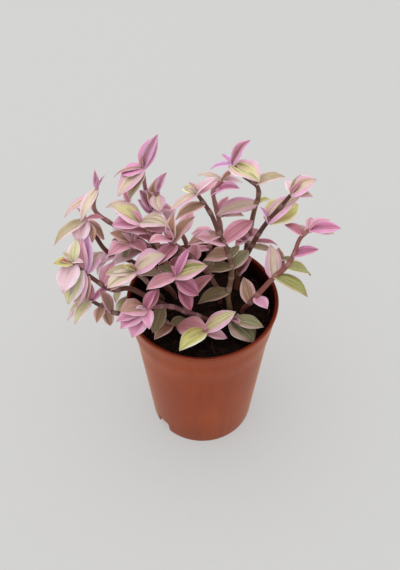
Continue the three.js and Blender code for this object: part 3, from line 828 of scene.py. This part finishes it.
class Shoot:
    """The curve of one stem or side shoot. A place on it counts route points from the foot or the fork."""

    def __init__(self, branch, parent=None):
        if "foot" in branch:
            start = [(*branch["foot"], SOIL_Z - ROOT_DEPTH), (*branch["foot"], SOIL_Z)]
        else:
            start = [parent.place(branch["start"])]
        self.buried = len(start) - 1
        self.route = np.array([*start, *branch["route"]], float)

    def share(self, place):
        """The place as a share of the curve's segments."""
        return (place + self.buried) / (len(self.route) - 1)

    def place(self, place):
        """The point at a place."""
        return curve_points(self.route, np.array([self.share(place)]))[0]

    def direction(self, place):
        """The unit tangent just before a place."""
        shares = np.array([self.share(place) - 0.001, self.share(place)])
        return unit(np.diff(curve_points(self.route, shares), axis=0))[0]


def stalk_skin(shoot, branch):
    """The tube of a stem: rings across the curve, spaced evenly along it.

    The radius falls from STEM_R to TIP_R with the square of the share of the length. Each node adds a
    low bulge, and above it a sheath SHEATH long that flares a little and ends at a sharp rim.
    """
    dense = np.linspace(0, 1, 40 * len(shoot.route))
    line = curve_points(shoot.route, dense)
    lengths = np.concatenate([[0], np.cumsum(np.linalg.norm(np.diff(line, axis=0), axis=1))])
    along = np.arange(SKIN_START if shoot.buried else 0, lengths[-1], STEM_STEP)
    share = along / lengths[-1]
    centres = np.stack([np.interp(along, lengths, line[:, k]) for k in range(3)], axis=1)
    tangents = unit(np.gradient(centres, axis=0))
    least_axis = np.eye(3)[np.argmin(np.abs(tangents).max(axis=0))]

    wanted = [*(leaf[0] for leaf in branch["leaves"]), *range(1, len(branch["route"]) + 1)]
    nodes = []
    for node in (np.interp(shoot.share(place), dense, lengths) for place in wanted):
        if all(abs(node - chosen) > NODE_GAP for chosen in nodes):
            nodes.append(node)
    sheath, ring = np.zeros_like(along), np.zeros_like(along)
    for node in nodes:
        up = along - node
        flare = smooth(up, -SHEATH_FOOT, SHEATH_FOOT) * (1 - smooth(up, SHEATH - SHEATH_RIM, SHEATH))
        sheath = np.maximum(sheath, flare * (0.7 + 0.3 * up / SHEATH))
        ring = np.maximum(ring, np.exp(-((up / NODE_SPREAD) ** 2)))
    radius = STEM_R + (TIP_R - STEM_R) * share**2 + SHEATH_OUT * sheath + NODE_OUT * ring
    rings = tube_rings(centres, tangents, least_axis, radius, STEM_SIDES)
    points, quads, triangles = capped_rings(rings, centres[0], centres[-1] + tangents[-1] * TIP_CAP)

    def spread(values):
        return np.concatenate([np.repeat(values, STEM_SIDES), values[[0, -1]]])

    low, high = [np.array(paint(code)) for code in branch["tints"]]
    tint = low + (high - low) * smooth(spread(share), 0.2, 0.9)[:, None]
    around = circle(STEM_SIDES)
    turns = [np.append(np.tile(f(around), len(along)), [0, 0]) for f in (np.cos, np.sin)]
    rounds = np.stack([*turns, spread(along)], axis=1)
    joint = np.stack([spread(sheath), spread(ring), np.zeros(len(points))], axis=1)
    return points, quads, triangles, dict(round=rounds, joint=joint, tint=tint)


def outline(t):
    """Half-width of a blade as a share of its greatest.

    It rises from 0.4 at the base by a quarter sine to 1 at the widest place, and falls to the tip as
    the cosine of a quarter turn times the remaining share to the power 1.25.
    """
    rising = 0.4 + 0.6 * np.sin(np.clip(t / LEAF_WIDEST, 0, 1) * math.pi / 2)
    rest = np.clip((t - LEAF_WIDEST) / (1 - LEAF_WIDEST), 0, 1)
    return np.where(t < LEAF_WIDEST, rising, np.cos(math.pi / 2 * rest**1.25))


def blade_skin(base, heading, rise, length, width, tone, fold=LEAF_FOLD, furl=0.0):
    """A leaf as a closed skin: rings round the blade from its base to its tip.

    In the blade's own frame x runs to the tip. The midrib is a parabola LEAF_ARCH of the length high,
    and each half rises from it by fold, in a V rounded at the midrib. The section is an ellipse, sharp
    at the margins and LEAF_THICK thick at the base, less to the tip, with a groove over the midrib.
    A random sweep, twist, droop and waved margin, all small, set each leaf apart. The frame is then
    turned up by rise and round by heading.
    """
    t = (1 - np.cos(np.linspace(0, math.pi, LEAF_ROWS + 2))[1:-1]) / 2
    t, around = np.meshgrid(t, circle(LEAF_SIDES), indexing="ij")
    share, side = np.cos(around), -np.sin(around)
    half = width / 2 * length * outline(t)
    sweep, droop, twist, bend = DRAW.uniform(-1, 1, 4)
    phase, ripple = DRAW.uniform(0, 2 * math.pi), DRAW.uniform(0.3, 1)
    seed = DRAW.uniform(0, 1)

    crease = np.sqrt(share**2 + 0.012) - 0.05
    height = (LEAF_ARCH + ARCH_SPREAD * bend) * length * 4 * t * (1 - t)
    height += fold * half * (crease - FOLD_MIDDLE)
    height += BELLY * half * np.sin(math.pi * np.abs(share)) * (1 - furl)
    height += RIPPLE * ripple * half * share**2 * np.sin(2 * math.pi * RIPPLES * t + phase + share)
    height -= DROOP * (0.6 + droop) * length * smooth(t, DROOP_START, 1.0) ** 2
    thick = LEAF_THICK * (1 - 0.6 * t)
    height += side * thick / 2
    height -= GROOVE * np.exp(-((share / GROOVE_SPREAD) ** 2)) * (1 - t) * np.where(side > 0, 1, 1.4)
    across = share * half + SWEEP * sweep * length * t**2
    across, height = turned(across, height, math.radians(TWIST) * twist * t)

    forward, z = turned(t * length, height, math.radians(rise))
    x, y = turned(forward, across, math.radians(heading))
    rings = np.stack([x, y, z], axis=-1) + base
    points, quads, triangles = capped_rings(rings, rings[0].mean(axis=0), rings[-1].mean(axis=0))

    blade = np.stack([t, share, side], axis=-1).reshape(-1, 3)
    blade = np.concatenate([blade, [[0, 0, 0], [1, 0, 0]]])
    *codes, reach, strength = TONES[tone]
    same = np.ones((len(points), 1))
    habit = same * [[reach * (0.9 + 0.2 * seed), strength, seed]]
    colours = {name: same * [paint(code)] for name, code in zip(("margin", "band", "streak"), codes)}
    return points, quads, triangles, dict(blade=blade, habit=habit, **colours)


def bud_skin(shoot, branch):
    """The furled, unopened leaf at a growing tip: a narrow blade folded deep along the stem's direction."""
    end = len(branch["route"])
    tangent = shoot.direction(end)
    heading = math.degrees(math.atan2(tangent[1], tangent[0]))
    rise = math.degrees(math.asin(tangent[2]))
    tone = branch["leaves"][-1][-1]
    return blade_skin(shoot.place(end), heading, rise, BUD_LENGTH, BUD_WIDTH, tone, BUD_FOLD, furl=1.0)


def leafy_stem(node, branches, leaf, stalk):
    """The stalks and the leaves of one plant, in place of its CAD node."""
    main = Shoot(branches[0])
    stalks, blades = [], []
    for branch in branches:
        shoot = main if "foot" in branch else Shoot(branch, main)
        stalks.append(stalk_skin(shoot, branch))
        blades.append(bud_skin(shoot, branch))
        for place, heading, rise, length, *width, tone in branch["leaves"]:
            width = width[0] if width else LEAF_WIDTH
            blades.append(blade_skin(shoot.place(place), heading, rise, length, width, tone))
    label = node.removeprefix("stem_")
    for name, skins, material in ((f"stalk_{label}", stalks, stalk), (f"leaves_{label}", blades, leaf)):
        piece = make_piece(name, *joined(skins), materials=[material])
        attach(piece, "root")
        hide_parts(node)


# -------- pot and peat


def wall_r(z):
    """Outer radius of the wall: a straight taper up to the collar, and a wider one on to the rim."""
    if z < COLLAR_Z:
        return FOOT_R + (COLLAR_R - COLLAR_STEP - FOOT_R) * z / COLLAR_Z
    return COLLAR_R + (RIM_R - RIM_BEAD_OUT - COLLAR_R) * (z - COLLAR_Z) / COLLAR_DROP


def rounded(corners):
    """A profile of radius and height from corners with a bend as their third number.

    Each corner but the ends becomes a quadratic arc that starts and ends bend away from it.
    """
    corners = np.asarray(corners, float)
    points = [corners[0, :2]]
    t = np.linspace(0, 1, ARC_POINTS)[:, None]
    for before, here, after in zip(corners, corners[1:], corners[2:]):
        corner, bend = here[:2], here[2]
        ways = [(other - here)[:2] for other in (before, after)]
        reaches = [np.linalg.norm(way) for way in ways]
        start, end = [corner + way / far * min(bend, far * ARC_REACH) for way, far in zip(ways, reaches)]
        points.extend((1 - t) ** 2 * start + 2 * t * (1 - t) * corner + t**2 * end)
    return np.array([*points, corners[-1, :2]])


def pot_skin():
    """The pot as a profile of radius and height turned about +Z.

    The profile runs from the middle of the underside out to the foot, up the wall, over the lip, down
    inside and back to the middle of the floor. Inside a notch the foot's low points rise to its height.
    The faces from the lip's top inwards wear the second material, the lining in painted shade.
    """
    bead_z, inner_r = POT_HEIGHT - RIM_BEAD_H, RIM_R - RIM_BEAD_OUT - WALL
    profile = rounded([
        (0, 0, 0), (PAD_R, 0, 0.5), (PAD_R + 1, CHANNEL_H, 0.6),
        (FOOT_R - FOOT_RING - 0.5, CHANNEL_H, 0.6), (FOOT_R - FOOT_RING, 0, 0.4), (FOOT_R, 0, 0.5),
        (wall_r(CHANNEL_H + 1), CHANNEL_H + 1, 1), (wall_r(30), 30, 1),
        (wall_r(COLLAR_LOW), COLLAR_LOW, 3.5), (wall_r(COLLAR_Z), COLLAR_Z, 3.5),
        (wall_r(bead_z), bead_z, 2.5), (RIM_R, POT_HEIGHT - LIP_EDGE, 0.16),
        (RIM_R - LIP_EDGE, POT_HEIGHT, 0.16), (inner_r + 0.2, POT_HEIGHT, 0.4),
        (inner_r, POT_HEIGHT - 0.8, 0.5), (wall_r(COLLAR_Z) - WALL, COLLAR_Z, 1),
        (wall_r(COLLAR_LOW) - WALL, COLLAR_LOW, 1), (wall_r(FLOOR_TOP) - WALL, FLOOR_TOP, 1),
        (PAD_R + 1.5, FLOOR_TOP, 0.6), (PAD_R - 0.5, FLOOR_T, 0.6), (0, FLOOR_T, 0),
    ])
    radius, angle = np.meshgrid(profile[1:-1, 0], circle(POT_SIDES), indexing="ij")
    z = np.broadcast_to(profile[1:-1, 1:], radius.shape).copy()
    for middle in np.radians(NOTCH_ANGLES):
        off = np.abs((angle - middle + math.pi) % (2 * math.pi) - math.pi) * FOOT_R
        inside = 1 - smooth(off, NOTCH_WIDTH / 2 - NOTCH_SLOPE, NOTCH_WIDTH / 2)
        z = np.maximum(z, np.where(radius > PAD_R + 2, NOTCH_H * inside, 0))
    rings = np.stack([*turned(radius, 0, angle), z], axis=-1)
    points, quads, triangles = capped_rings(rings, (0, 0, 0), (0, 0, FLOOR_T))
    top = np.flatnonzero(profile[1:-1, 1] >= POT_HEIGHT - 0.01)[0]
    lined = np.arange(len(quads)) >= top * POT_SIDES
    slots = np.concatenate([lined, np.arange(len(triangles)) >= POT_SIDES])
    return points, quads, triangles, slots


def drained(piece):
    """Cuts the drain holes through the raised channel floor with a Boolean, and applies it."""
    cutters = []
    for turn in np.radians([notch + further for notch in NOTCH_ANGLES for further in DRAIN_TURNS]):
        ring = np.stack(turned(DRAIN_R, 0, circle(DRAIN_SIDES)), axis=1)
        ring += turned(DRAIN_CIRCLE_R, 0, turn)
        levels = CHANNEL_H - 1, FLOOR_TOP + 1
        rings = np.stack([np.column_stack([ring, np.full(DRAIN_SIDES, z)]) for z in levels])
        cutters.append((*capped_rings(rings, rings[0].mean(axis=0), rings[1].mean(axis=0)), {}))
    cutter = make_piece("drain_cutter", *joined(cutters))
    cut = piece.modifiers.new("drain", "BOOLEAN")
    cut.operation, cut.solver, cut.object = "DIFFERENCE", "EXACT", cutter
    shown = piece.evaluated_get(bpy.context.evaluated_depsgraph_get())
    mesh = bpy.data.meshes.new_from_object(shown)
    piece.modifiers.clear()
    piece.data = mesh
    bpy.data.objects.remove(cutter)


def peat_height(x, y):
    """Height of the peat's top: rugged noise in large and small clods, a little lower at the wall."""
    x_in, y_in = x + NOISE_OFF, y + NOISE_OFF
    clods = 0.55 * rugged(x_in, y_in, CLOD_LARGE, 11, 3) + 0.45 * rugged(x_in, y_in, CLOD_SMALL, 31, 4)
    edge = smooth(np.hypot(x, y), SOIL_R - WALL_DIP_WIDTH, SOIL_R)
    return SOIL_Z + CLOD_H * clods - WALL_DIP * edge


def peat_skin():
    """The fill: a rugged top on a grid of radius and angle, closed by a side down the wall and a floor."""
    radius = np.sqrt(np.linspace(0.001, 1, PEAT_RINGS)) * SOIL_R
    radius, angle = np.meshgrid(radius, circle(PEAT_SIDES), indexing="ij")
    x, y = turned(radius, 0, angle)
    top = np.stack([x, y, peat_height(x, y)], axis=-1)
    over_channel, over_pad = FLOOR_TOP + PEAT_GAP, FLOOR_T + PEAT_GAP
    foot, collar = [wall_r(z) - WALL - 2 * PEAT_GAP for z in (over_channel, COLLAR_LOW)]
    steps = [(collar, COLLAR_LOW), (foot, over_channel), (PAD_R + 2, over_channel)]
    steps += [(PAD_R - 1, over_pad), (1, over_pad)]
    lower = [top[-1] * (r / SOIL_R, r / SOIL_R, 0) + (0, 0, z) for r, z in steps]
    rings = np.concatenate([top, np.stack(lower)])[::-1]
    return capped_rings(rings, (0, 0, over_pad), (0, 0, peat_height(0.0, 0.0)))


def scattered(count):
    """Random places on the peat, even over its area."""
    radius = np.sqrt(DRAW.uniform(0, 0.97, count)) * SOIL_R
    angle = DRAW.uniform(0, 2 * math.pi, count)
    x, y = turned(radius, 0, angle)
    return np.stack([x, y, peat_height(x, y)], axis=1)


def crumb_skins():
    """Crumbs of peat: small rounded lumps of three rings, each squashed and turned at random."""
    around = circle(CRUMB_SIDES)
    radius, height = CRUMB_RINGS[:, :1], CRUMB_RINGS[:, 1:]
    ball = np.stack([*turned(radius, 0, around), height + 0 * around], axis=-1).reshape(-1, 3)
    skins = []
    for place in scattered(CRUMBS):
        size = DRAW.uniform(0.25, 0.8) * DRAW.uniform(0.5, 1.1, 3) * (1, 1, 0.8)
        turn = DRAW.uniform(0, 2 * math.pi)
        x, y, z = (ball * size * DRAW.uniform(0.8, 1.2, (len(ball), 1))).T
        lump = np.stack([*turned(x, y, turn), z], axis=1) + place
        tall = (0, 0, size[2])
        skins.append((*capped_rings(lump.reshape(-1, CRUMB_SIDES, 3), place - tall, place + tall), {}))
    return skins


def fibre_skins():
    """Root fibres and bits of husk: thin tubes that lie over the peat on bowed lines."""
    skins = []
    t = np.linspace(-0.5, 0.5, FIBRE_POINTS)
    for place in scattered(FIBRES):
        length, turn, bow = DRAW.uniform(2, 7), DRAW.uniform(0, 2 * math.pi), DRAW.uniform(-0.25, 0.25)
        x, y = turned(t * length, bow * length * (1 - 4 * t**2), turn)
        x, y = x + place[0], y + place[1]
        shrink = np.minimum(1, (SOIL_R - 0.6) / np.maximum(np.hypot(x, y), 1e-6))
        x, y = x * shrink, y * shrink
        lift = DRAW.uniform(0.05, 0.4) + 0.5 * np.abs(t) * DRAW.uniform(0, 1)
        centres = np.stack([x, y, peat_height(x, y) + lift], axis=1)
        radius = DRAW.uniform(0.06, 0.17) * np.sqrt(1 - 3 * t**2)
        tangents = unit(np.gradient(centres, axis=0))
        rings = tube_rings(centres, tangents, (0, 0, 1), radius, FIBRE_SIDES)
        skins.append((*capped_rings(rings, centres[0], centres[-1]), {}))
    return skins


def build_pot():
    """The pot's shell with its drain holes, in place of the CAD pot."""
    points, quads, triangles, slots = pot_skin()
    materials = [pot_finish(), painted_shade_lining_finish()]
    piece = make_piece("pot_shell", points, quads, triangles, materials=materials, slots=slots)
    drained(piece)
    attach(piece, "root")
    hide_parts("pot")


def build_peat():
    """The fill, its crumbs and its root fibres, in place of the CAD soil."""
    damp = peat_finish()
    peat = make_piece("peat_fill", *peat_skin(), materials=[damp])
    crumbs = make_piece("peat_crumbs", *joined(crumb_skins()), materials=[damp])
    fibres = make_piece("peat_fibres", *joined(fibre_skins()), materials=[fibre_finish()])
    for piece in (peat, crumbs, fibres):
        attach(piece, "root")
        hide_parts("soil")


# -------- stage


def build_floor():
    """A wide level board under the pot."""
    corners = np.array([(-1, -1, 0), (1, -1, 0), (1, 1, 0), (-1, 1, 0)]) * FLOOR_HALF
    floor = make_piece("floor", corners, [[0, 1, 2, 3]], materials=[floor_finish()])


def build_light():
    """An even pale sky, with one very large soft lamp overhead and a little to the left."""
    world = bpy.data.worlds.new("studio")
    world.use_nodes = True
    sky = world.node_tree.nodes["Background"].inputs
    sky["Color"].default_value = SKY
    sky["Strength"].default_value = SKY_STRENGTH
    bpy.context.scene.world = world
    lamp = bpy.data.lights.new("softbox", "AREA")
    lamp.shape = "DISK"
    lamp.size = LAMP_SIZE
    lamp.energy = LAMP_POWER
    lamp.color = LAMP_COLOUR
    softbox = bpy.data.objects.new("softbox", lamp)
    softbox.location = LAMP_AT
    softbox.rotation_euler = [math.radians(angle) for angle in LAMP_TILT]
    bpy.context.scene.collection.objects.link(softbox)


def build_camera():
    """The photographer's view: 49 degrees down from in front, with the pot low in an upright frame."""
    data = bpy.data.cameras.new("camera")
    data.lens = CAMERA_LENS
    data.sensor_width = CAMERA_SENSOR
    data.clip_start, data.clip_end = 0.01, 20
    camera = bpy.data.objects.new("camera", data)
    camera.location = CAMERA_AT
    camera.rotation_euler = (math.radians(CAMERA_TILT), 0, 0)
    bpy.context.scene.collection.objects.link(camera)
    bpy.context.scene.camera = camera


build_camera()
build_light()
build_floor()
build_pot()
build_peat()
leaf_material, stalk_material = leaf_finish(), stalk_finish()
for node_name, plant in PLANTS.items():
    leafy_stem(node_name, plant, leaf_material, stalk_material)
bpy.context.scene.view_settings.view_transform = "Standard"
